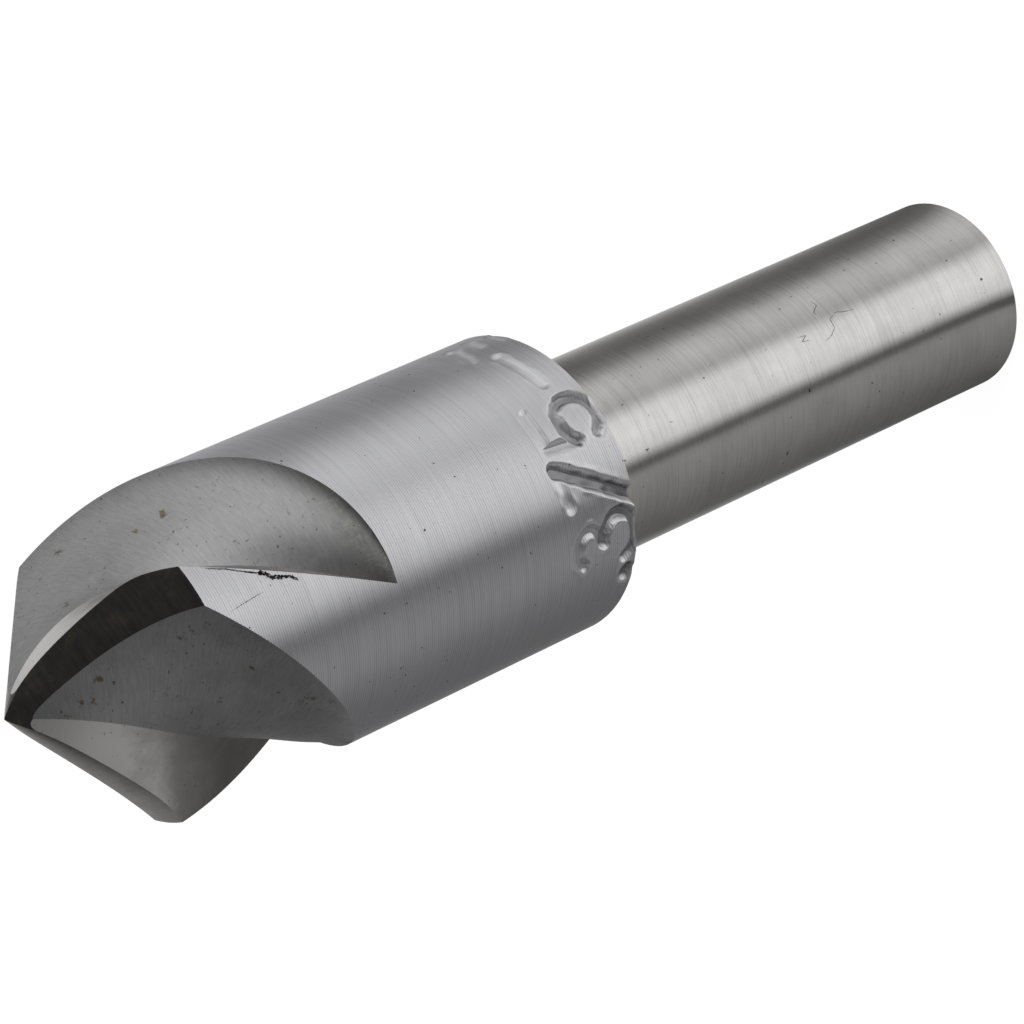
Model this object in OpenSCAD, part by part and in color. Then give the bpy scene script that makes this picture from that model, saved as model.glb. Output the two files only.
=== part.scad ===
// Countersink bit with three flutes, made as one piece from one bar of tool steel.
// It stands on the end of its shank, with its axis on Z and its point up.
// +X runs through the outer corner of one cutting edge, and angles grow
// counter-clockwise seen from the point, the way the edges lead. Millimetres.

/* [Body and shank] */
// Diameter of the body, three eighths of an inch
body_d = 9.525; // [9:0.025:10.5]
// Diameter of the shank, a quarter of an inch
shank_d = 6.35; // [5:0.05:8]
// Length over all, from the end of the shank to the point
total_l = 40.1; // [34:0.1:60]
// Length of the shank up to the shoulder of the body
shank_l = 19.6; // [12:0.1:22]
// Chamfer round the shoulder of the body
shoulder_break = 0.15; // [0.05:0.05:0.5]
// Chamfer round the end of the shank
end_break = 0.1; // [0.05:0.05:0.5]

/* [Point] */
// Angle of the cone that each land is ground on
point_angle = 94.4; // [80:0.2:110]
// Shift of that cone's axis towards the flute, so that the land falls away behind its edge
lip_lead = 0.14; // [0.05:0.01:0.3]
// Shift of that cone's axis away from its land, so that the three cones meet in a blunt point
lip_setback = 0.31; // [0.2:0.01:0.5]

/* [Flutes] */
// Length of a flute, from the level of the point to where it runs out
flute_l = 10.88; // [10:0.02:12]
// Angle at which a flute runs out, counted from its own cutting corner
exit_turn = -36; // [-42:1:-32]
// Distance from the axis to a flute's root at the level of the point, before its dip there
core_r = 0.2; // [0.18:0.01:0.3]
// How far the root line dips nearer the axis than that just at the point
core_dip = 0.1; // [0:0.01:0.12]
// Outward bow of the root line half way along
core_bow = 0.38; // [0.2:0.02:0.5]
// Outward push of the root line nearer the point, and as much inward nearer the run-out
core_sway = 1.05; // [0.8:0.01:1.1]
// Angle of the root at the level of the point
root_turn = 68.6; // [64:0.2:72]
// Rate at which that angle falls off, where 1 is even
root_ease = 1.38; // [1.1:0.01:1.5]
// Extra turn of the root half way along
root_bow = 15.4; // [10:0.2:18]
// Extra turn of the root nearer the point, and as much less nearer the run-out
root_sway = 4.9; // [3:0.1:8]
// Turn of the back wall's rim over the whole flute
back_sweep = 197; // [192:0.5:200]
// Turn taken off that rim half way along
back_bow = 12.3; // [10:0.1:16]
// Turn of the cutting face's rim for each millimetre of depth
face_lead = 5.56; // [5.5:0.01:5.8]
// Depth down to which the cutting face bends away from that lead, a little short of the corner
bend_depth = 3.73; // [3.6:0.01:4]
// Rate at which it bends back above that depth
bend_rate = 12.4; // [11:0.1:13]
// Easing of the bend towards the point
bend_ease = 0.805; // [0.7:0.005:0.9]
// Hollow of the cutting face beside the root at the run-out, as a share of its width
face_hollow = 0.36; // [0.2:0.01:0.4]
// Crown of the back wall beside the root towards the run-out, as a share of its width
back_crown = 0.26; // [0.1:0.01:0.3]
// Hollow of the back wall beside its rim at the point, as a share of its width
back_hollow = 0.07; // [0:0.01:0.12]

/* [Hidden] */
flutes = 3;
pitch = 360 / flutes;
body_r = body_d / 2;
shank_r = shank_d / 2;
half_angle = point_angle / 2;
// The blank is longer than the finished bit, and the lip cones trim it to the point
blank_l = total_l + 1;
// Distance from the bit's axis to the axis of a lip cone, and that cone's own tip
lip_shift = norm([lip_setback, lip_lead]);
cone_tip = total_l + lip_shift / tan(half_angle);
// Cross-sections along a flute, closer together where it runs out, and the first that is
// drawn, where the cutter still leaves a step of 0.01
stations = 48;
first = 2;
// Strips across each wall, and how far the last one is drawn past the rim, into the open
strips = 8;
past_rim = 1.5;
// Each cross-section is closed at one point well outside the body
closing_r = 3 * body_r;
closing_at = strips + 1;
ring = 2 * strips + 2;
$fn = 160;

// Share of a flute's length that is left below a depth, a bow that is 1 half way along,
// and a sway that leans one way nearer the point and the other way nearer the run-out
function left(depth) = 1 - depth / flute_l;
function bow(depth) = 4 * left(depth) * (1 - left(depth));
function sway(depth) = bow(depth) * (2 * left(depth) - 1);

// The root line: its distance from the axis and its angle at a depth
function root_r(depth) = body_r - (body_r - core_r) * left(depth)
    + core_bow * bow(depth) + core_sway * sway(depth) - core_dip * pow(left(depth), 9);
function root_angle(depth) = exit_turn + (root_turn - exit_turn) * pow(left(depth), root_ease)
    + root_bow * bow(depth) + root_sway * sway(depth);

// Where the two walls reach the body's diameter at a depth: the back wall sweeps out
// with the square root of what is left, like any round cutter's run-out
function back_angle(depth) = exit_turn + back_sweep * sqrt(left(depth)) - back_bow * bow(depth);
function bend(over) = bend_rate * over * over / (1 + bend_ease * over);
function face_angle(depth) = exit_turn + face_lead * (flute_l - depth)
    - bend(max(bend_depth - depth, 0));

function on_circle(r, angle) = [r * cos(angle), r * sin(angle)];

// How far a wall stands off the straight line from root to rim, as a share of its width,
// from its two control points: one nearer the root and one nearer the rim
function stand_off(at, near_root, near_rim) = at >= 1 ? 0
    : 3 * at * (1 - at) * ((1 - at) * near_root + at * near_rim);

// The back wall's crown along the flute: none at the point or at the run-out, where the wall
// is too narrow for it, and most a fifth of the length before the run-out
function swell(depth) = 3 * pow(1 - left(depth), 2) * sqrt(left(depth));

// A wall's points from beside the root to past the rim, which lies in the open
function wall(across, aside, near_root, near_rim) = [
    for (i = [1:strips])
        let (at = i / strips * (1 + past_rim / norm(across)))
            across * at + aside * stand_off(at, near_root, near_rim)
];

// The section of a flute at a depth: out along the cutting face and back along the other wall
function section(depth) = let (
    root = on_circle(root_r(depth), root_angle(depth)),
    face = on_circle(body_r, face_angle(depth)) - root,
    back = on_circle(body_r, back_angle(depth)) - root,
    closing = on_circle(closing_r, (face_angle(depth) + back_angle(depth)) / 2),
    hollow = back_hollow * left(depth),
    crown = back_crown * swell(depth),
    face_wall = wall(face, [-face.y, face.x], -face_hollow * (1 - left(depth)), 0),
    back_wall = wall(back, [back.y, -back.x], crown - hollow / 2, crown / 5 - hollow),
    outline = concat(
        [root],
        [for (i = [0:strips - 1]) root + face_wall[i]],
        [closing],
        [for (i = [strips - 1:-1:0]) root + back_wall[i]]
    )
) [for (p = outline) [p.x, p.y, total_l - depth]];

// Depth of each cross-section, from the run-out up to the level of the point
function station_depth(i) = flute_l * (1 - pow(i / stations, 2));

// One bar turned to the shank, the shoulder and the body
module blank() {
    rotate_extrude()
        polygon([
            [0, 0],
            [shank_r - end_break, 0],
            [shank_r, end_break],
            [shank_r, shank_l],
            [body_r - shoulder_break, shank_l],
            [body_r, shank_l + shoulder_break],
            [body_r, blank_l],
            [0, blank_l]
        ]);
}

// The cone that the first land is ground on, off the bit's axis
module lip_cone() {
    translate([-lip_setback, lip_lead, 0])
        cylinder(h = cone_tip, r1 = cone_tip * tan(half_angle), r2 = 0);
}

// The space that the cutter leaves in front of the first cutting edge
module flute() {
    points = [for (i = [first:stations]) each section(station_depth(i))];
    last = (stations - first) * ring;
    sides = [
        for (i = [0:stations - first - 1], j = [0:ring - 1])
            let (a = i * ring + j, b = i * ring + (j + 1) % ring)
                each [[a, b + ring, b], [a, a + ring, b + ring]]
    ];
    // Both ends start at the closing point, which isn't in line with either wall
    run_out = [for (j = [0:ring - 1]) (closing_at + j) % ring];
    top = [for (j = [ring:-1:1]) last + (closing_at + j) % ring];
    polyhedron(points, concat(sides, [run_out, top]));
}

module countersink_bit() {
    color("silver")
        difference() {
            intersection() {
                blank();
                intersection_for (k = [0:flutes - 1])
                    rotate(k * pitch) lip_cone();
            }
            for (k = [0:flutes - 1])
                rotate(k * pitch) flute();
        }
}

countersink_bit();
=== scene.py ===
import math

import bmesh
import bpy
from mathutils import Euler, Matrix, Vector, noise


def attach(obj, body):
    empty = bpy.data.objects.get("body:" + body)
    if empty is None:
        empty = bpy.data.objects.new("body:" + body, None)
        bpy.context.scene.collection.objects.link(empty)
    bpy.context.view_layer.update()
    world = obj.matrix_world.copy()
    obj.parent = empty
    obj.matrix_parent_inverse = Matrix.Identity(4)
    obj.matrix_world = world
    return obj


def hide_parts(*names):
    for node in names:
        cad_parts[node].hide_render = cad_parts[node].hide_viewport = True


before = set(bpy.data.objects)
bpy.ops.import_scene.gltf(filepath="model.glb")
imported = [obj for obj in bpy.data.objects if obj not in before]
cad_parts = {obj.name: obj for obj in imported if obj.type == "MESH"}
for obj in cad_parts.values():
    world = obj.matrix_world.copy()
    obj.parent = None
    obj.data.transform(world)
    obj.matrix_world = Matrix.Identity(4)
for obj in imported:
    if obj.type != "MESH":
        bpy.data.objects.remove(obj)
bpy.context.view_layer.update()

# A countersink bit of bare tool steel: a ground shank, a turned body with a size struck
# into it by hand, three milled flutes and three ground lands. It is modelled in
# millimetres, with its point up, and brought to metres at the end.
MM = 0.001
UP = Vector((0, 0, 1))
# The noise that bends the torn slivers starts from the clock unless it is given a seed
noise.seed_set(1)

# The bit's own sizes, in millimetres and degrees
BODY_R = 9.525 / 2
SHANK_R = 6.35 / 2
TOTAL_L = 40.1
BLANK_L = TOTAL_L + 1
SHANK_L = 19.6
SHOULDER_BREAK = 0.15
END_BREAK = 0.1
HALF_ANGLE = math.radians(94.4 / 2)
LIP_LEAD = 0.14
LIP_SETBACK = 0.31
FLUTES = 3
FLUTE_L = 10.88
EXIT_TURN = -36
CORE_R = 0.2
CORE_DIP = 0.1
CORE_BOW = 0.38
CORE_SWAY = 1.05
ROOT_TURN = 68.6
ROOT_EASE = 1.38
ROOT_BOW = 15.4
ROOT_SWAY = 4.9
BACK_SWEEP = 197
BACK_BOW = 12.3
FACE_LEAD = 5.56
BEND_DEPTH = 3.73
BEND_RATE = 12.4
BEND_EASE = 0.805
FACE_HOLLOW = 0.36
BACK_CROWN = 0.26
BACK_HOLLOW = 0.07
# How far a flute's walls are drawn past the body, and where each section is closed
PAST_RIM = 1.5
CLOSING_R = 3 * BODY_R
# Length of the band behind the shoulder that the size is struck into, and of its finer part
STAMPED_L = 4.6
FINE_L = 3

# How finely it is drawn: sides of the bar, sections along a flute and the first of them,
# strips across each of its walls, and cuts up the struck band and along a sliver
SIDES = 512
STATIONS = 102
FIRST = 4
STRIPS = 24
STRUCK_CUTS = 54
SLIVER_CUTS = 98
# Heights in millimetres that differ by less than this are the same
SAME = 0.01
# Steeper bends than these, in degrees, are shaded as edges on the bit and on a sliver
BIT_EDGE = 12
SLIVER_EDGE = 40


def take(piece):
    """Selects this piece alone, so that the next tool acts on nothing else."""
    if bpy.context.object and bpy.context.object.mode != "OBJECT":
        bpy.ops.object.mode_set(mode="OBJECT")
    bpy.ops.object.select_all(action="DESELECT")
    piece.select_set(True)
    bpy.context.view_layer.objects.active = piece


def pick(piece, kind, wanted):
    """Opens edit mode with only the faces or edges picked that the rule wants."""
    take(piece)
    bpy.ops.object.mode_set(mode="EDIT")
    bpy.ops.mesh.select_mode(type=kind)
    bpy.ops.mesh.select_all(action="DESELECT")
    shape = bmesh.from_edit_mesh(piece.data)
    members = {"EDGE": shape.edges, "FACE": shape.faces}[kind]
    for member in members:
        if wanted(member):
            member.select = True
    shape.select_flush_mode()
    bmesh.update_edit_mesh(piece.data)


def middle(member):
    points = [v.co for v in member.verts]
    return sum(points, Vector()) / len(points)


def upright(edge):
    """Whether an edge runs up the side of a new cylinder, which is 1 high."""
    return abs(edge.verts[0].co.z - edge.verts[1].co.z) > 0.5


def on_circle(radius, degrees):
    turn = math.radians(degrees)
    return Vector((radius * math.cos(turn), radius * math.sin(turn), 0))


# The blank


def widened(factor):
    bpy.ops.transform.resize(value=(factor, factor, 1), center_override=(0, 0, 0))


def raised(height):
    bpy.ops.mesh.extrude_region_move(TRANSFORM_OT_translate={"value": (0, 0, height)})


def turned_blank():
    """Shank, shoulder and body turned from one bar, longer than the finished bit."""
    bpy.ops.mesh.primitive_cylinder_add(
        vertices=SIDES, radius=SHANK_R, depth=SHANK_L, location=(0, 0, SHANK_L / 2)
    )
    blank = bpy.context.object
    bpy.ops.object.transform_apply(location=True)
    pick(blank, "FACE", lambda face: middle(face).z < SAME)
    bpy.ops.mesh.inset(thickness=END_BREAK)
    bpy.ops.object.mode_set(mode="OBJECT")
    for vertex in blank.data.vertices:
        if vertex.co.z < SAME and vertex.co.xy.length > SHANK_R - END_BREAK / 2:
            vertex.co.z = END_BREAK
    pick(blank, "FACE", lambda face: middle(face).z > SHANK_L - SAME)
    raised(0)
    widened((BODY_R - SHOULDER_BREAK) / SHANK_R)
    raised(SHOULDER_BREAK)
    widened(BODY_R / (BODY_R - SHOULDER_BREAK))
    raised(STAMPED_L)
    raised(BLANK_L - SHANK_L - SHOULDER_BREAK - STAMPED_L)
    bpy.ops.object.mode_set(mode="OBJECT")
    for finish in (turned_steel(), ground_steel(), faced_steel()):
        blank.data.materials.append(finish)
    for face in blank.data.polygons:
        if face.center.z < SHANK_L - SAME:
            face.material_index = 1 if face.center.z > END_BREAK / 4 else 2
    return blank


# The cutters


def turned_to(tool, number):
    """Turns a tool from the first flute's place to that of another."""
    tool.data.transform(Matrix.Rotation(math.tau * number / FLUTES, 4, "Z"))
    return tool


def lip_cone(number):
    """The cone that one land is ground on, its axis a little off the bit's own."""
    shift = math.hypot(LIP_SETBACK, LIP_LEAD)
    height = TOTAL_L + shift / math.tan(HALF_ANGLE)
    bpy.ops.mesh.primitive_cone_add(
        vertices=SIDES,
        radius1=height * math.tan(HALF_ANGLE),
        depth=height,
        location=(-LIP_SETBACK, LIP_LEAD, height / 2),
    )
    cone = bpy.context.object
    bpy.ops.object.transform_apply(location=True)
    return turned_to(cone, number)


def left(depth):
    """The share of a flute's length that is left below a depth."""
    return 1 - depth / FLUTE_L


def bow(depth):
    """A bow along the flute that is 1 half way."""
    return 4 * left(depth) * (1 - left(depth))


def sway(depth):
    """A sway that leans one way nearer the point and the other way nearer the run-out."""
    return bow(depth) * (2 * left(depth) - 1)


def root_at(depth):
    """The flute's root, which lies deepest at the point and comes up to the body's surface."""
    radius = BODY_R - (BODY_R - CORE_R) * left(depth)
    radius += CORE_BOW * bow(depth) + CORE_SWAY * sway(depth) - CORE_DIP * left(depth) ** 9
    turn = EXIT_TURN + (ROOT_TURN - EXIT_TURN) * left(depth) ** ROOT_EASE
    turn += ROOT_BOW * bow(depth) + ROOT_SWAY * sway(depth)
    return on_circle(radius, turn)


def back_turn(depth):
    """Where the back wall meets the body, in degrees round it."""
    return EXIT_TURN + BACK_SWEEP * math.sqrt(left(depth)) - BACK_BOW * bow(depth)


def face_turn(depth):
    """Where the cutting face meets the body, in degrees round it."""
    over = max(BEND_DEPTH - depth, 0)
    bend = BEND_RATE * over * over / (1 + BEND_EASE * over)
    return EXIT_TURN + FACE_LEAD * (FLUTE_L - depth) - bend


def wall(across, aside, near_root, near_rim):
    """A flute wall's points from beside the root, curved up to the rim and straight past it."""
    points = []
    for step in range(1, STRIPS + 1):
        at = step / STRIPS * (1 + PAST_RIM / across.length)
        inside = min(at, 1)
        stand_off = 3 * inside * (1 - inside) * ((1 - inside) * near_root + inside * near_rim)
        points.append(across * at + aside * stand_off)
    return points


def flute_section(depth):
    """A flute's outline at a depth: out along the cutting face, back along the other wall."""
    root = root_at(depth)
    face = on_circle(BODY_R, face_turn(depth)) - root
    back = on_circle(BODY_R, back_turn(depth)) - root
    hollow = BACK_HOLLOW * left(depth)
    crown = BACK_CROWN * 3 * (1 - left(depth)) ** 2 * math.sqrt(left(depth))
    face_wall = wall(face, UP.cross(face), -FACE_HOLLOW * (1 - left(depth)), 0)
    back_wall = wall(back, back.cross(UP), crown - hollow / 2, crown / 5 - hollow)
    closing = on_circle(CLOSING_R, (face_turn(depth) + back_turn(depth)) / 2)
    outline = [root] + [root + point for point in face_wall]
    outline += [closing] + [root + point for point in reversed(back_wall)]
    return [point + UP * (TOTAL_L - depth) for point in outline]


def flute_cutter(number):
    """A tube of rings, each drawn to the flute's section at its own depth."""
    ring = 2 * STRIPS + 2
    bpy.ops.mesh.primitive_cylinder_add(vertices=ring, radius=1, depth=1)
    cutter = bpy.context.object
    pick(cutter, "EDGE", upright)
    bpy.ops.mesh.subdivide(number_cuts=STATIONS - 2)
    bpy.ops.object.mode_set(mode="OBJECT")
    places = []
    for vertex in cutter.data.vertices:
        station = FIRST + (vertex.co.z + 0.5) * (STATIONS - FIRST)
        turn = math.atan2(-vertex.co.x, vertex.co.y)
        depth = FLUTE_L * (1 - (station / STATIONS) ** 2)
        places.append(round(turn * ring / math.tau) % ring)
        vertex.co = flute_section(depth)[places[-1]]
    take(cutter)
    bpy.ops.object.mode_set(mode="EDIT")
    bpy.ops.mesh.select_all(action="SELECT")
    bpy.ops.mesh.quads_convert_to_tris()
    bpy.ops.mesh.normals_make_consistent(inside=False)
    bpy.ops.object.mode_set(mode="OBJECT")
    for face in cutter.data.polygons:
        on_face_wall = max(places[v] for v in face.vertices) <= STRIPS + 1
        face.material_index = 0 if on_face_wall else 1
    return turned_to(cutter, number)


def worked(piece, tool, operation, finishes):
    """Cuts or trims the piece with a tool that leaves its own finishes behind."""
    for finish in finishes:
        tool.data.materials.append(finish)
    change = piece.modifiers.new("work", "BOOLEAN")
    change.operation = operation
    change.solver = "EXACT"
    change.material_mode = "TRANSFER"
    change.object = tool
    take(piece)
    bpy.ops.object.modifier_apply(modifier=change.name)
    bpy.data.objects.remove(tool)


# Finishes


def linear(hex_colour):
    """An sRGB hex colour as the linear values that a shader takes."""
    values = [int(hex_colour[i:i + 2], 16) / 255 for i in (1, 3, 5)]
    return [v / 12.92 if v <= 0.04045 else ((v + 0.055) / 1.055) ** 2.4 for v in values] + [1]


def add_node(tree, kind, settings=None, links=None):
    """Adds one node, sets its settings, sockets and colour stops, and links its inputs."""
    node = tree.nodes.new(kind)
    for name, value in (settings or {}).items():
        if name == "stops":
            stops = node.color_ramp.elements
            while len(stops) < len(value):
                stops.new(0.5)
            for stop, (place, colour) in zip(stops, value):
                stop.position = place
                stop.color = linear(colour) if isinstance(colour, str) else [colour] * 3 + [1]
        elif isinstance(name, int) or name in node.inputs:
            node.inputs[name].default_value = value
        else:
            setattr(node, name, value)
    for name, source in (links or {}).items():
        tree.links.new(source, node.inputs[name])
    return node


def new_material(name):
    material = bpy.data.materials.new(name)
    material.use_nodes = True
    material.node_tree.nodes.clear()
    return material, material.node_tree


def per_metre(millimetres):
    """A noise scale that gives patches of this size."""
    return 1 / (millimetres * MM)


def bands_per_metre(millimetres):
    """A wave scale that gives bands this far apart: a wave turns 20 times its scale."""
    return math.tau / 20 / (millimetres * MM)


def with_specks(tree, place, under, colour, size, detail, stops, roughness=0.5):
    """Specks of another colour over the colour under them, about this size in millimetres.
    The stops say from where in the noise a speck begins, and how strong it gets."""
    grains = add_node(tree, "ShaderNodeTexNoise", {
        "Scale": per_metre(size), "Detail": detail, "Roughness": roughness}, {"Vector": place})
    shown = add_node(tree, "ShaderNodeValToRGB", {"stops": stops}, {
        "Fac": grains.outputs["Fac"]})
    return add_node(tree, "ShaderNodeMixRGB", {"Color2": linear(colour)}, {
        "Fac": shown.outputs["Color"], "Color1": under.outputs["Color"]})


# Feed lines of the lathe, drawn coarser than real ones so that they show
FEED = 0.085
# Lines of a grinding wheel round the shank, coarser than real ones too, and how long each runs
GRIND = 0.05
GRIND_RUN = 2.2
# Heights from which a flute's stain shows downwards, and at which it is full
STAIN_FROM = 30.7
STAIN_FULL = 29.4
# Heights between which the cutting face's painted light turns from dark to bright
PAINTED_LIGHT_FROM = 33
PAINTED_LIGHT_FULL = 39


def turned_steel():
    """Bare steel as the lathe left it. Its feed lines run round the body, so that light
    spreads along the bit into broad soft bands, with a satin, faintly ribbed face. In the
    struck size it is darker at the bottoms of the deep strokes, and has a painted highlight
    on the strokes' sloping sides and burrs."""
    material, tree = new_material("turned_steel")
    place = add_node(tree, "ShaderNodeTexCoord").outputs["Object"]
    feed = add_node(tree, "ShaderNodeTexWave", {
        "wave_type": "BANDS", "bands_direction": "Z", "Scale": bands_per_metre(FEED),
        "Distortion": 0.0, "Detail": 0.0}, {"Vector": place})
    drawn_out = add_node(tree, "ShaderNodeMapping", {
        "Scale": (per_metre(2.6), per_metre(2.6), per_metre(0.06))}, {"Vector": place})
    streaks = add_node(tree, "ShaderNodeTexNoise", {
        "Scale": 1.0, "Detail": 1.0, "Roughness": 0.4}, {"Vector": drawn_out.outputs[0]})
    cloud = add_node(tree, "ShaderNodeTexNoise", {
        "Scale": per_metre(2.2), "Detail": 4.0, "Roughness": 0.6}, {"Vector": place})
    clouded = add_node(tree, "ShaderNodeValToRGB", {
        "stops": [(0.3, "#e2e2e5"), (0.7, "#e8e8eb")]}, {"Fac": cloud.outputs["Fac"]})
    height = add_node(tree, "ShaderNodeMath", {"operation": "MULTIPLY_ADD", 1: 0.7}, {
        0: feed.outputs["Fac"], 2: streaks.outputs["Fac"]})
    lined = add_node(tree, "ShaderNodeValToRGB", {
        "stops": [(0.35, "#dddddd"), (0.95, "#ffffff")]}, {"Fac": height.outputs[0]})
    toned = add_node(tree, "ShaderNodeMixRGB", {
        "blend_type": "MULTIPLY", "Fac": 0.8},
        {"Color1": clouded.outputs["Color"], "Color2": lined.outputs["Color"]})
    speckled = with_specks(
        tree, place, toned, "#57524d", 0.16, 1.0, [(0.765, 0.0), (0.795, 1.0)])
    tint = add_node(tree, "ShaderNodeAttribute", {"attribute_name": "struck"})
    marks = add_node(tree, "ShaderNodeSeparateColor", links={"Color": tint.outputs["Color"]})
    # Darker colour at the bottoms of the deep strokes, from red
    darker_in_deep_strokes = add_node(tree, "ShaderNodeMixRGB", {"Color2": linear("#87858a")}, {
        "Fac": marks.outputs["Red"], "Color1": speckled.outputs["Color"]})
    # Painted highlight: lighter colour on the struck size's sloping sides and burrs, from green
    with_painted_highlight = add_node(tree, "ShaderNodeMixRGB", {"Color2": linear("#fafafa")}, {
        "Fac": marks.outputs["Green"], "Color1": darker_in_deep_strokes.outputs["Color"]})
    smooth_side = add_node(tree, "ShaderNodeMapRange", {
        "From Min": 0.25, "From Max": 0.75, "To Min": 0.4, "To Max": 0.46},
        {"Value": cloud.outputs["Fac"]})
    ribs = add_node(tree, "ShaderNodeBump", {"Strength": 1.0, "Distance": 0.0038 * MM}, {
        "Height": height.outputs[0]})
    round_about = add_node(tree, "ShaderNodeTangent", {"direction_type": "RADIAL", "axis": "Z"})
    shader = add_node(tree, "ShaderNodeBsdfPrincipled", {
        "Metallic": 1.0, "Anisotropic": 0.9, "Anisotropic Rotation": 0.25,
        "Specular Tint": linear("#d0d0d0")}, {
        "Base Color": with_painted_highlight.outputs["Color"], "Roughness": smooth_side.outputs[0],
        "Normal": ribs.outputs["Normal"], "Tangent": round_about.outputs["Tangent"]})
    add_node(tree, "ShaderNodeOutputMaterial", links={"Surface": shader.outputs["BSDF"]})
    return material


def ground_steel():
    """Steel ground to size between centres. Short fine scratches run round the shank, and it
    is glossier than the body, so that its bands have harder borders."""
    material, tree = new_material("ground_steel")
    place = add_node(tree, "ShaderNodeTexCoord").outputs["Object"]
    drawn_out = add_node(tree, "ShaderNodeMapping", {
        "Scale": (per_metre(GRIND_RUN), per_metre(GRIND_RUN), per_metre(GRIND))},
        {"Vector": place})
    scratches = add_node(tree, "ShaderNodeTexNoise", {
        "Scale": 1.0, "Detail": 4.0, "Roughness": 0.65}, {"Vector": drawn_out.outputs[0]})
    cloud = add_node(tree, "ShaderNodeTexNoise", {
        "Scale": per_metre(1.6), "Detail": 5.0, "Roughness": 0.65}, {"Vector": place})
    clouded = add_node(tree, "ShaderNodeValToRGB", {
        "stops": [(0.3, "#c6c4c2"), (0.68, "#d3d2d0")]}, {"Fac": cloud.outputs["Fac"]})
    lined = add_node(tree, "ShaderNodeValToRGB", {
        "stops": [(0.3, "#c9c7c5"), (0.55, "#ffffff")]}, {"Fac": scratches.outputs["Fac"]})
    toned = add_node(tree, "ShaderNodeMixRGB", {
        "blend_type": "MULTIPLY", "Fac": 0.5},
        {"Color1": clouded.outputs["Color"], "Color2": lined.outputs["Color"]})
    speckled = with_specks(
        tree, place, toned, "#5a544e", 0.2, 2.0, [(0.73, 0.0), (0.76, 1.0)])
    gloss = add_node(tree, "ShaderNodeMapRange", {
        "From Min": 0.3, "From Max": 0.7, "To Min": 0.16, "To Max": 0.22},
        {"Value": scratches.outputs["Fac"]})
    ribs = add_node(tree, "ShaderNodeBump", {"Strength": 1.0, "Distance": 0.0011 * MM}, {
        "Height": scratches.outputs["Fac"]})
    round_about = add_node(tree, "ShaderNodeTangent", {"direction_type": "RADIAL", "axis": "Z"})
    shader = add_node(tree, "ShaderNodeBsdfPrincipled", {
        "Metallic": 1.0, "Anisotropic": 0.95, "Anisotropic Rotation": 0.25,
        "Specular Tint": linear("#d8d8d8")}, {
        "Base Color": speckled.outputs["Color"], "Roughness": gloss.outputs[0],
        "Normal": ribs.outputs["Normal"], "Tangent": round_about.outputs["Tangent"]})
    add_node(tree, "ShaderNodeOutputMaterial", links={"Surface": shader.outputs["BSDF"]})
    return material


def faced_steel():
    """The shank's end, faced on the lathe: rings round its middle, dull and faintly dark."""
    material, tree = new_material("faced_steel")
    place = add_node(tree, "ShaderNodeTexCoord").outputs["Object"]
    rings = add_node(tree, "ShaderNodeTexWave", {
        "wave_type": "RINGS", "rings_direction": "Z", "Scale": bands_per_metre(0.12),
        "Distortion": 0.0}, {"Vector": place})
    cloud = add_node(tree, "ShaderNodeTexNoise", {
        "Scale": per_metre(0.9), "Detail": 4.0}, {"Vector": place})
    clouded = add_node(tree, "ShaderNodeValToRGB", {
        "stops": [(0.3, "#8f8c89"), (0.7, "#b0aeab")]}, {"Fac": cloud.outputs["Fac"]})
    ribs = add_node(tree, "ShaderNodeBump", {"Strength": 1.0, "Distance": 0.003 * MM}, {
        "Height": rings.outputs["Fac"]})
    shader = add_node(tree, "ShaderNodeBsdfPrincipled", {"Metallic": 1.0, "Roughness": 0.4}, {
        "Base Color": clouded.outputs["Color"], "Normal": ribs.outputs["Normal"]})
    add_node(tree, "ShaderNodeOutputMaterial", links={"Surface": shader.outputs["BSDF"]})
    return material


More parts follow.
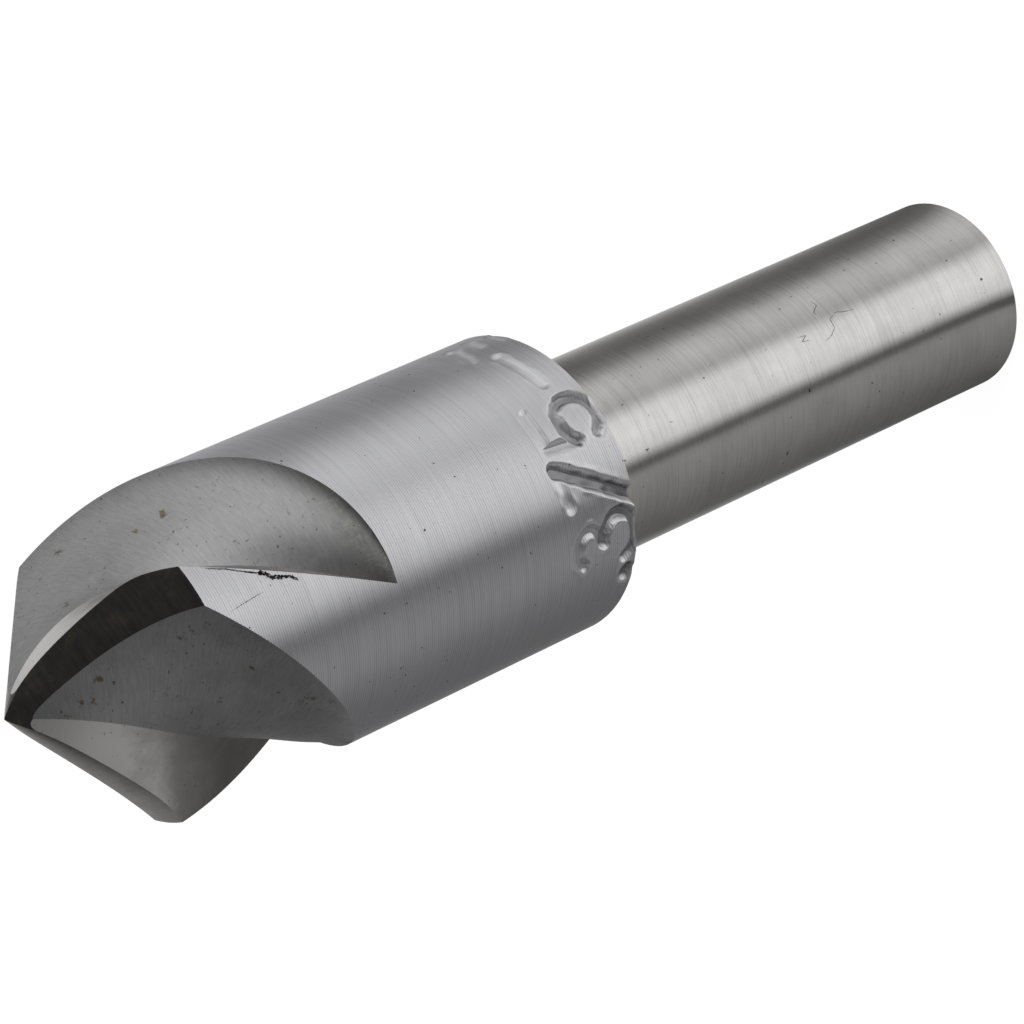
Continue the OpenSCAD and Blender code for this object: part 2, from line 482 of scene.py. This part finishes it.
def milled_steel():
    """The flute's back wall as the cutter left it: matte grey, with dark specks, a few brown
    rust spots and faint tool marks. Towards the run-out it is stained olive brown, with light
    streaks scraped through the stain."""
    material, tree = new_material("milled_steel")
    place = add_node(tree, "ShaderNodeTexCoord").outputs["Object"]
    axes = add_node(tree, "ShaderNodeSeparateXYZ", links={"Vector": place})
    cloud = add_node(tree, "ShaderNodeTexNoise", {
        "Scale": per_metre(0.9), "Detail": 6.0, "Roughness": 0.7}, {"Vector": place})
    clouded = add_node(tree, "ShaderNodeValToRGB", {
        "stops": [(0.3, "#b5b5b5"), (0.7, "#cbcbcd")]}, {"Fac": cloud.outputs["Fac"]})
    drawn_out = add_node(tree, "ShaderNodeMapping", {
        "Scale": (per_metre(0.09), per_metre(0.09), per_metre(1.4)),
        "Rotation": (0.5, 0.3, 0.0)}, {"Vector": place})
    tool_marks = add_node(tree, "ShaderNodeTexNoise", {
        "Scale": 1.0, "Detail": 3.0, "Roughness": 0.6}, {"Vector": drawn_out.outputs[0]})
    pulled_round = add_node(tree, "ShaderNodeMapping", {
        "Scale": (per_metre(0.5), per_metre(0.5), per_metre(0.055)),
        "Rotation": (0.25, -0.1, 0.0)}, {"Vector": place})
    cross_marks = add_node(tree, "ShaderNodeTexNoise", {
        "Scale": 1.0, "Detail": 4.0, "Roughness": 0.7}, {"Vector": pulled_round.outputs[0]})
    marked = add_node(tree, "ShaderNodeValToRGB", {
        "stops": [(0.3, "#c9c8c6"), (0.7, "#ffffff")]}, {"Fac": cross_marks.outputs["Fac"]})
    toned = add_node(tree, "ShaderNodeMixRGB", {
        "blend_type": "MULTIPLY", "Fac": 0.5},
        {"Color1": clouded.outputs["Color"], "Color2": marked.outputs["Color"]})
    near_exit = add_node(tree, "ShaderNodeMapRange", {
        "From Min": STAIN_FROM * MM, "From Max": STAIN_FULL * MM, "To Min": 0.0,
        "To Max": 1.3},
        {"Value": axes.outputs["Z"]})
    patchy = add_node(tree, "ShaderNodeMath", {"operation": "MULTIPLY_ADD", 1: 1.5, 2: -0.45},
        {0: cloud.outputs["Fac"]})
    stain = add_node(tree, "ShaderNodeMath", {"operation": "MULTIPLY", "use_clamp": True},
        {0: near_exit.outputs[0], 1: patchy.outputs[0]})
    stained = add_node(tree, "ShaderNodeMixRGB", {"Color2": linear("#5c5a4f")}, {
        "Fac": stain.outputs[0], "Color1": toned.outputs["Color"]})
    scraped = add_node(tree, "ShaderNodeValToRGB", {
        "stops": [(0.56, 0.0), (0.68, 0.75)]}, {"Fac": tool_marks.outputs["Fac"]})
    bright_streaks = add_node(tree, "ShaderNodeMath", {"operation": "MULTIPLY", "use_clamp": True},
        {0: scraped.outputs["Color"], 1: near_exit.outputs[0]})
    streaked = add_node(tree, "ShaderNodeMixRGB", {"Color2": linear("#bdbcb2")}, {
        "Fac": bright_streaks.outputs[0], "Color1": stained.outputs["Color"]})
    rusty = with_specks(
        tree, place, streaked, "#756750", 0.6, 6.0, [(0.615, 0.0), (0.68, 0.8)], 0.72)
    speckled = with_specks(
        tree, place, rusty, "#5b564d", 0.13, 2.0, [(0.69, 0.0), (0.75, 0.8)])
    uneven = add_node(tree, "ShaderNodeMapRange", {
        "From Min": 0.3, "From Max": 0.7, "To Min": 0.44, "To Max": 0.58},
        {"Value": cloud.outputs["Fac"]})
    ribs = add_node(tree, "ShaderNodeBump", {"Strength": 1.0, "Distance": 0.003 * MM}, {
        "Height": cross_marks.outputs["Fac"]})
    shader = add_node(tree, "ShaderNodeBsdfPrincipled", {
        "Metallic": 1.0, "Specular Tint": linear("#b0b0b0")}, {
        "Base Color": speckled.outputs["Color"], "Roughness": uneven.outputs[0],
        "Normal": ribs.outputs["Normal"]})
    add_node(tree, "ShaderNodeOutputMaterial", links={"Surface": shader.outputs["BSDF"]})
    return material


def cutting_face_painted_light():
    """The cutting face, with painted light: its colour is painted lighter than the rest of the
    flute near the point and darker as it runs out, standing in for the lamps' reflection,
    with fine marks along it."""
    material, tree = new_material("cutting_face_painted_light")
    place = add_node(tree, "ShaderNodeTexCoord").outputs["Object"]
    axes = add_node(tree, "ShaderNodeSeparateXYZ", links={"Vector": place})
    cloud = add_node(tree, "ShaderNodeTexNoise", {
        "Scale": per_metre(0.8), "Detail": 6.0, "Roughness": 0.7}, {"Vector": place})
    # Painted light: the colour brightens towards the point, standing in for the reflection on the
    # cutting face there
    painted_light_near_point = add_node(tree, "ShaderNodeMapRange", {
        "From Min": PAINTED_LIGHT_FROM * MM, "From Max": PAINTED_LIGHT_FULL * MM, "To Min": 0.0,
        "To Max": 1.0},
        {"Value": axes.outputs["Z"]})
    worn = add_node(tree, "ShaderNodeMath", {"operation": "MULTIPLY_ADD", 1: 0.5}, {
        0: cloud.outputs["Fac"], 2: painted_light_near_point.outputs[0]})
    toned = add_node(tree, "ShaderNodeValToRGB", {
        "stops": [(0.2, "#8d8a88"), (0.7, "#b9b6b4"), (1.0, "#f2f0ee")]},
        {"Fac": worn.outputs[0]})
    speckled = with_specks(
        tree, place, toned, "#6a6158", 0.13, 2.0, [(0.7, 0.0), (0.76, 0.7)])
    drawn_out = add_node(tree, "ShaderNodeMapping", {
        "Scale": (per_metre(0.08), per_metre(0.08), per_metre(1.0))}, {"Vector": place})
    marks = add_node(tree, "ShaderNodeTexNoise", {
        "Scale": 1.0, "Detail": 3.0}, {"Vector": drawn_out.outputs[0]})
    ribs = add_node(tree, "ShaderNodeBump", {"Strength": 1.0, "Distance": 0.003 * MM}, {
        "Height": marks.outputs["Fac"]})
    shader = add_node(tree, "ShaderNodeBsdfPrincipled", {
        "Metallic": 1.0, "Roughness": 0.48, "Specular Tint": linear("#c0c0c0")}, {
        "Base Color": speckled.outputs["Color"], "Normal": ribs.outputs["Normal"]})
    add_node(tree, "ShaderNodeOutputMaterial", links={"Surface": shader.outputs["BSDF"]})
    return material


def ground_lands():
    """The lands behind the edges, ground on a cone: smooth and dark brown-grey, a colour
    darkened as painted shade for the dark surroundings they reflect, with dirt left in the
    grinding lines."""
    material, tree = new_material("ground_lands")
    place = add_node(tree, "ShaderNodeTexCoord").outputs["Object"]
    cloud = add_node(tree, "ShaderNodeTexNoise", {
        "Scale": per_metre(0.7), "Detail": 6.0, "Roughness": 0.7}, {"Vector": place})
    drawn_out = add_node(tree, "ShaderNodeMapping", {
        "Scale": (per_metre(1.2), per_metre(1.2), per_metre(0.07))}, {"Vector": place})
    streaks = add_node(tree, "ShaderNodeTexNoise", {
        "Scale": 1.0, "Detail": 4.0}, {"Vector": drawn_out.outputs[0]})
    # Painted shade: a dark base colour standing in for the dark surroundings that the lands
    # reflect
    clouded = add_node(tree, "ShaderNodeValToRGB", {
        "stops": [(0.3, "#605e5e"), (0.55, "#6c6866"), (0.75, "#87796c")]},
        {"Fac": cloud.outputs["Fac"]})
    lined = add_node(tree, "ShaderNodeValToRGB", {
        "stops": [(0.3, "#b8b6b4"), (0.65, "#ffffff")]}, {"Fac": streaks.outputs["Fac"]})
    toned = add_node(tree, "ShaderNodeMixRGB", {
        "blend_type": "MULTIPLY", "Fac": 0.4},
        {"Color1": clouded.outputs["Color"], "Color2": lined.outputs["Color"]})
    gloss = add_node(tree, "ShaderNodeMapRange", {
        "From Min": 0.3, "From Max": 0.7, "To Min": 0.3, "To Max": 0.42},
        {"Value": cloud.outputs["Fac"]})
    ribs = add_node(tree, "ShaderNodeBump", {"Strength": 1.0, "Distance": 0.002 * MM}, {
        "Height": streaks.outputs["Fac"]})
    shader = add_node(tree, "ShaderNodeBsdfPrincipled", {"Metallic": 1.0}, {
        "Base Color": toned.outputs["Color"], "Roughness": gloss.outputs[0],
        "Normal": ribs.outputs["Normal"]})
    add_node(tree, "ShaderNodeOutputMaterial", links={"Surface": shader.outputs["BSDF"]})
    return material


def torn_edge_steel():
    """Steel torn up in a burr: rough and nearly black, with a few bright crumbs."""
    material, tree = new_material("torn_edge_steel")
    place = add_node(tree, "ShaderNodeTexCoord").outputs["Object"]
    crumbs = add_node(tree, "ShaderNodeTexNoise", {
        "Scale": per_metre(0.12), "Detail": 3.0}, {"Vector": place})
    toned = add_node(tree, "ShaderNodeValToRGB", {
        "stops": [(0.45, "#2d2a28"), (0.58, "#5b5854"), (0.66, "#c9c8c6")]},
        {"Fac": crumbs.outputs["Fac"]})
    ribs = add_node(tree, "ShaderNodeBump", {"Strength": 1.0, "Distance": 0.01 * MM}, {
        "Height": crumbs.outputs["Fac"]})
    shader = add_node(tree, "ShaderNodeBsdfPrincipled", {"Metallic": 1.0, "Roughness": 0.7}, {
        "Base Color": toned.outputs["Color"], "Normal": ribs.outputs["Normal"]})
    add_node(tree, "ShaderNodeOutputMaterial", links={"Surface": shader.outputs["BSDF"]})
    return material


# The size struck into the body by hand


def round_stroke(middle_x, middle_y, wide, high, start, end):
    """A path round part of an oval, from one angle to another."""
    steps = 14
    turns = [math.radians(start + (end - start) * i / steps) for i in range(steps + 1)]
    return [(middle_x + wide * math.cos(t), middle_y + high * math.sin(t)) for t in turns]


# Each stroke: its path, which is the distance round the body from +X and the height above
# the shank's end, then its width and its depth, all in millimetres. Numerals that read .375
# come first, and four worn dents after them.
STROKES = [
    # The point
    ([(-6.05, 20.05), (-5.95, 20.05)], 0.5, 0.2),
    # The 3
    (round_stroke(-4.6, 21.7, 0.56, 0.5, 150, -85), 0.3, 0.12),
    (round_stroke(-4.62, 20.45, 0.78, 0.68, 85, -160), 0.36, 0.19),
    # The 7
    ([(-3.1, 22.25), (-2.1, 22.35)], 0.26, 0.07),
    ([(-1.92, 22.35), (-3.8, 19.3)], 0.44, 0.24),
    # The 5
    ([(-1.25, 22.2), (0.0, 22.2)], 0.28, 0.09),
    ([(-1.25, 22.2), (-1.35, 21.25)], 0.28, 0.13),
    (round_stroke(-0.72, 20.58, 0.74, 0.74, 146, -145), 0.34, 0.19),
    # The dents
    ([(0.75, 20.8), (2.4, 21.0)], 0.36, 0.07),
    ([(2.85, 21.8), (3.9, 21.5)], 0.4, 0.09),
    ([(3.5, 20.8), (4.2, 20.55)], 0.26, 0.08),
    ([(3.35, 19.98), (3.9, 19.9)], 0.2, 0.07),
]
# The struck band round the body, by the same distance
STRUCK_FROM = -6.6
STRUCK_TO = 5.5
# A deep stroke, and the width of the sloping side of a deep and of a shallow one
DEEP = 0.1
DEEP_SIDE = 0.2
SHALLOW_SIDE = 0.26
# The burr beside a stroke: its height, how far out it stands and how wide it is, the height
# that is too small to draw, and the depth of another stroke that wipes it away
BURR = 0.022
BURR_OUT = 0.13
BURR_WIDE = 0.1
BURR_LEAST = 0.0005
BURR_WIPED = 0.03
# Beyond this distance a stroke leaves no mark
STROKE_REACH = 0.35
# Lumps of roughness for each millimetre
ROUGH_LUMPS = 2.5
# The depth at which a stroke's sloping side gets its brightest painted highlight
BRIGHT_DEPTH = 0.05


def from_line(point, start, end):
    """How far a point is from a straight part of a stroke."""
    across = end - start
    share = max(0, min(1, (point - start).dot(across) / max(across.dot(across), 1e-9)))
    return (point - start - across * share).length


def struck(x, y):
    """How deep the surface is struck here, and how far its burr stands up."""
    here = Vector((x, y))
    deepest = 0
    burr = 0
    rough = noise.noise(Vector((x * ROUGH_LUMPS, y * ROUGH_LUMPS, 3)))
    for path, width, depth in STROKES:
        points = [Vector(p) for p in path]
        far = min(from_line(here, a, b) for a, b in zip(points, points[1:]))
        over = far - width / 2 - 0.03 * rough
        if over > STROKE_REACH:
            continue
        side = DEEP_SIDE if depth > DEEP else SHALLOW_SIDE
        share = max(0, min(1, 0.5 - over / side))
        deepest = max(deepest, depth * (1 + 0.15 * rough) * share * share * (3 - 2 * share))
        lip = math.exp(-((over - BURR_OUT) / BURR_WIDE) ** 2)
        burr = max(burr, lip * max(0, 0.4 + 0.9 * rough))
    return deepest, burr * BURR * max(0, 1 - deepest / BURR_WIPED)


def in_struck_band(point):
    return (
        SHANK_L - SAME < point.z < SHANK_L + SHOULDER_BREAK + STAMPED_L + SAME
        and STRUCK_FROM < math.atan2(point.y, point.x) * BODY_R < STRUCK_TO
        and point.xy.length > BODY_R - SHOULDER_BREAK - SAME
    )


def strike_size(bit):
    """Draws the band behind the shoulder finely, and pushes the strokes into it."""
    body_low = SHANK_L + SHOULDER_BREAK

    def up_the_band(edge):
        low, high = sorted(v.co.z for v in edge.verts)
        rises = low > body_low - SAME and high - low > 1
        return rises and high < body_low + STAMPED_L + SAME and in_struck_band(middle(edge))

    def in_fine_part(face):
        height = middle(face).z - body_low
        on_side = abs(face.normal.z) < 0.1 and len(face.verts) == 4
        return 0 < height < FINE_L and on_side and in_struck_band(middle(face))

    pick(bit, "EDGE", up_the_band)
    bpy.ops.mesh.subdivide(number_cuts=STRUCK_CUTS)
    pick(bit, "FACE", in_fine_part)
    bpy.ops.mesh.subdivide(number_cuts=1)
    bpy.ops.object.mode_set(mode="OBJECT")
    # The finish darkens the bottoms of deep strokes by red and paints a highlight on sloping sides
    # and burrs by green; a new tint starts white
    tint = bit.data.attributes.new("struck", "FLOAT_COLOR", "POINT")
    tint.data.foreach_set("color", [0, 0, 0, 1] * len(bit.data.vertices))
    for vertex in bit.data.vertices:
        point = vertex.co
        if not in_struck_band(point):
            continue
        depth, burr = struck(math.atan2(point.y, point.x) * BODY_R, point.z)
        if depth == 0 and burr < BURR_LEAST:
            continue
        radius = point.xy.length
        point.xy *= (radius - depth + burr) / radius
        # No burr reaches past the box of the solid
        point.x = min(point.x, BODY_R)
        point.y = max(min(point.y, BODY_R), -BODY_R)
        # Darker colour at the bottoms of strokes deeper than DEEP
        dirt = 0.75 * max(0, min(1, depth / DEEP - 1))
        # Painted highlight: brighter colour on the strokes' sloping sides and on their burrs
        painted_highlight = max(0.6 * burr / BURR, 1 - abs(depth - BRIGHT_DEPTH) / BRIGHT_DEPTH)
        tint.data[vertex.index].color = (dirt, 0.7 * max(0, painted_highlight), 0, 1)


def marked_borders(piece):
    """A border between two finishes is a real edge, and is shaded as one."""
    finish_of = {}
    for face in piece.data.polygons:
        for key in face.edge_keys:
            finish_of.setdefault(key, set()).add(face.material_index)
    for edge in piece.data.edges:
        if len(finish_of.get(edge.key, ())) > 1:
            edge.use_edge_sharp = True


# Small damage


# Each path gives the distance round the body or shank from +X, and the height, in
# millimetres. The torn edge lies along a flute's border, and the scratch runs beside it.
TORN_EDGE = [
    (-0.36, 35.02), (-0.62, 34.44), (-0.83, 34.07), (-1.08, 33.6), (-1.17, 33.36),
    (-1.34, 33.25), (-1.46, 32.98), (-1.52, 32.68), (-1.73, 32.46)]
TORN_STRANDS = (0.06, 0.055, 0.05)
DEEP_SCRATCH = [(-1.63, 33.7), (-1.68, 34.3), (-1.76, 35.0)]
SCRATCH_THICK = 0.012
# Small curled scores on the side of the shank
SHANK_SCORES = [
    [(0.34, 8.28), (0.13, 8.2), (-0.04, 8.5), (-0.16, 8.5)],
    [(-0.33, 7.63), (-0.47, 8.12), (-0.79, 8.14), (-0.97, 8.43), (-1.07, 8.78)],
    [(-0.32, 7.8), (-0.44, 7.41), (-0.5, 6.96)],
    [(-0.6, 9.74), (-0.64, 9.39), (-0.77, 9.66), (-0.84, 9.31)]]
SCORE_THICK = 0.013
# How often a sliver bends and swells over its whole length
BENDS = 44
SWELLS = 70


def on_round(x, z, radius, proud):
    """A place on the round side of the body or shank, standing a little proud of it."""
    return on_circle(radius + proud, math.degrees(x / radius)) + UP * z


def sliver(name, path, thickness, finish, seed, thin_part=0, radius=BODY_R):
    """A ragged sliver of torn steel: a rod pulled along a path, thick and thin by turns, and
    a mere thread over the thin part at its start."""
    bpy.ops.mesh.primitive_cylinder_add(vertices=8, radius=1, depth=1)
    rod = bpy.context.object
    rod.name = rod.data.name = name
    pick(rod, "EDGE", upright)
    bpy.ops.mesh.subdivide(number_cuts=SLIVER_CUTS)
    bpy.ops.object.mode_set(mode="OBJECT")
    for vertex in rod.data.vertices:
        share = vertex.co.z + 0.5
        along = share * (len(path) - 1)
        step = min(int(along), len(path) - 2)
        start, end = Vector(path[step]), Vector(path[step + 1])
        here = start.lerp(end, along - step)
        shake = noise.noise_vector(Vector((share * BENDS, seed * 3.7, 0)))
        lump = 0.35 + 1.5 * abs(noise.noise(Vector((share * SWELLS, seed * 2.3, 7))))
        if share < thin_part:
            lump *= 0.35
            shake *= 0.3
        size = thickness * lump * math.sin(math.pi * min(max(share, 0.02), 0.98)) ** 0.6
        here += Vector((shake.x, shake.y)) * thickness * 1.3
        side = (end - start).normalized().orthogonal()
        place = on_round(*(here + side * vertex.co.x * size), radius, 0.2 * thickness)
        place.xy *= 1 + vertex.co.y * size * 0.6 / radius
        # No sliver reaches past the box of the solid
        place.x = min(place.x, BODY_R)
        vertex.co = place * MM
    rod.data.materials.append(finish)
    take(rod)
    bpy.ops.object.shade_smooth_by_angle(angle=math.radians(SLIVER_EDGE))
    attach(rod, "root")


# The whole bit


def countersink_bit():
    bit = turned_blank()
    lands = ground_lands()
    flute_finishes = (cutting_face_painted_light(), milled_steel())
    for number in range(FLUTES):
        worked(bit, lip_cone(number), "INTERSECT", [lands])
    for number in range(FLUTES):
        worked(bit, flute_cutter(number), "DIFFERENCE", flute_finishes)
    bit.name = bit.data.name = "countersink_bit_dressed"
    take(bit)
    bpy.ops.object.shade_smooth_by_angle(angle=math.radians(BIT_EDGE))
    marked_borders(bit)
    strike_size(bit)
    bit.data.transform(Matrix.Scale(MM, 4))
    return bit


bit = countersink_bit()
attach(bit, "root")
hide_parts("countersink_bit")
torn_steel = torn_edge_steel()
for number, thickness in enumerate(TORN_STRANDS, 1):
    sliver(f"torn_edge_{number}", TORN_EDGE, thickness, torn_steel, number, thin_part=0.4)
sliver("deep_scratch", DEEP_SCRATCH, SCRATCH_THICK, torn_steel, 5)
for number, path in enumerate(SHANK_SCORES, 1):
    sliver(f"shank_score_{number}", path, SCORE_THICK, torn_steel, number + 10, radius=SHANK_R)


# The studio


# Where the camera stands, how it is turned, its lens, and its own turn round the bit
CAMERA_AT = Vector((101.24, -42.706, 110.191)) * MM
CAMERA_TURN = Euler([math.radians(a) for a in (-26.961, 44.8356, -58.3655)])
LENS = 164.85
CAMERA_SIDE = -22.9
# The place on the bit's axis that all lamps point at
LAMPS_AIM = Vector((0, 0, 35))


def camera():
    view = bpy.data.objects.new("camera", bpy.data.cameras.new("camera"))
    bpy.context.scene.collection.objects.link(view)
    view.location = CAMERA_AT
    view.rotation_euler = CAMERA_TURN
    view.data.lens = LENS
    view.data.sensor_width = 36
    view.data.clip_start = 0.005
    view.data.clip_end = 10
    bpy.context.scene.camera = view


def around(turn, height, distance):
    """A place in millimetres at a turn round the bit, for a lamp."""
    return on_circle(distance, turn) + UP * height


def softbox(name, at, size, power):
    lamp = bpy.data.objects.new(name, bpy.data.lights.new(name, "AREA"))
    bpy.context.scene.collection.objects.link(lamp)
    lamp.location = at * MM
    lamp.rotation_euler = (LAMPS_AIM - at).to_track_quat("-Z", "Y").to_euler()
    lamp.data.shape = "RECTANGLE"
    lamp.data.size = size[0] * MM
    lamp.data.size_y = size[1] * MM
    lamp.data.energy = power


# A painted reflection: how brightly the paper glows in the steel, and nowhere else, at each
# turn round the bit in degrees, from 0 to 1: white in front and behind, and painted grey at the
# sides. The tones start and end at the seam.
PAPER_SEAM = 150
PAINTED_REFLECTION_TONES = [
    (150, 1.0), (178, 0.55), (203, 0.06), (235, 0.07), (288, 0.22), (296, 0.2), (301, 0.0),
    (306, 0.0), (318, 0.8), (338, 1.0), (358, 0.94), (373, 0.42), (394, 0.6), (408, 0.56),
    (429, 0.1), (446, 0.03), (466, 0.16), (490, 0.8), (510, 1.0)]
# The painted reflection's tones turn round a place a little nearer the camera than the bit's axis
PAINTED_REFLECTION_ROUND = on_circle(1.4, CAMERA_SIDE)
# How bright the paper is to the camera, and its size in metres
PAPER_WHITE = 0.9
PAPER_SIZE = 3


def studio_floor():
    """A sheet of pale paper: white to the camera and lit by the lamps, and in the steel a painted
    reflection that glows less at the sides of the bit.
    """
    bpy.ops.mesh.primitive_plane_add(size=PAPER_SIZE)
    floor = bpy.context.object
    floor.name = "studio_floor"
    material, tree = new_material("white_paper")
    place = add_node(tree, "ShaderNodeTexCoord").outputs["Object"]
    seam_turn = Euler((0, 0, math.pi - math.radians(PAPER_SEAM)))
    turned = add_node(tree, "ShaderNodeMapping", {
        "Rotation": seam_turn, "Location": -(seam_turn.to_matrix() @ PAINTED_REFLECTION_ROUND) * MM},
        {"Vector": place})
    axes = add_node(tree, "ShaderNodeSeparateXYZ", links={"Vector": turned.outputs[0]})
    turn = add_node(tree, "ShaderNodeMath", {"operation": "ARCTAN2"}, {
        0: axes.outputs["Y"], 1: axes.outputs["X"]})
    share = add_node(tree, "ShaderNodeMapRange", {"From Min": -math.pi, "From Max": math.pi}, {
        "Value": turn.outputs[0]})
    stops = [((degrees - PAPER_SEAM) / 360, tone) for degrees, tone in PAINTED_REFLECTION_TONES]
    painted_reflection = add_node(tree, "ShaderNodeValToRGB", {"stops": stops}, {"Fac": share.outputs[0]})
    # Painted reflection: the paper glows in these tones for glossy and transmission rays only, lit
    # by no lamp
    ray = add_node(tree, "ShaderNodeLightPath")
    in_metal = add_node(tree, "ShaderNodeMath", {"operation": "MAXIMUM"}, {
        0: ray.outputs["Is Glossy Ray"], 1: ray.outputs["Is Transmission Ray"]})
    shown = add_node(tree, "ShaderNodeMath", {"operation": "MULTIPLY"}, {
        0: in_metal.outputs[0], 1: painted_reflection.outputs["Color"]})
    strength = add_node(tree, "ShaderNodeMath", {
        "operation": "MULTIPLY_ADD", 1: PAPER_WHITE}, {
        0: ray.outputs["Is Camera Ray"], 2: shown.outputs[0]})
    glow = add_node(tree, "ShaderNodeEmission", links={"Strength": strength.outputs[0]})
    paper = add_node(tree, "ShaderNodeBsdfDiffuse", {"Color": linear("#e4e4e4")})
    both = add_node(tree, "ShaderNodeAddShader", links={
        0: glow.outputs[0], 1: paper.outputs[0]})
    add_node(tree, "ShaderNodeOutputMaterial", links={"Surface": both.outputs[0]})
    floor.data.materials.append(material)


def studio_air():
    """A dim even room, which the steel shows wherever it shows no paper and no softbox."""
    world = bpy.data.worlds.new("studio_air")
    bpy.context.scene.world = world
    world.use_nodes = True
    tree = world.node_tree
    tree.nodes.clear()
    air = add_node(tree, "ShaderNodeBackground", {"Color": (1, 1, 1, 1), "Strength": 0.12})
    add_node(tree, "ShaderNodeOutputWorld", links={"Surface": air.outputs["Background"]})


camera()
studio_floor()
studio_air()
softbox("right_softbox", around(34, 68, 260), (350, 116), 0.14)
softbox("far_right_softbox", around(94, 62, 260), (230, 110), 0.06)
softbox("left_softbox", around(-86, 86, 240), (90, 72), 0.011)
softbox("far_left_softbox", around(190, 42, 240), (100, 56), 0.009)
bpy.context.scene.view_settings.view_transform = "Standard"
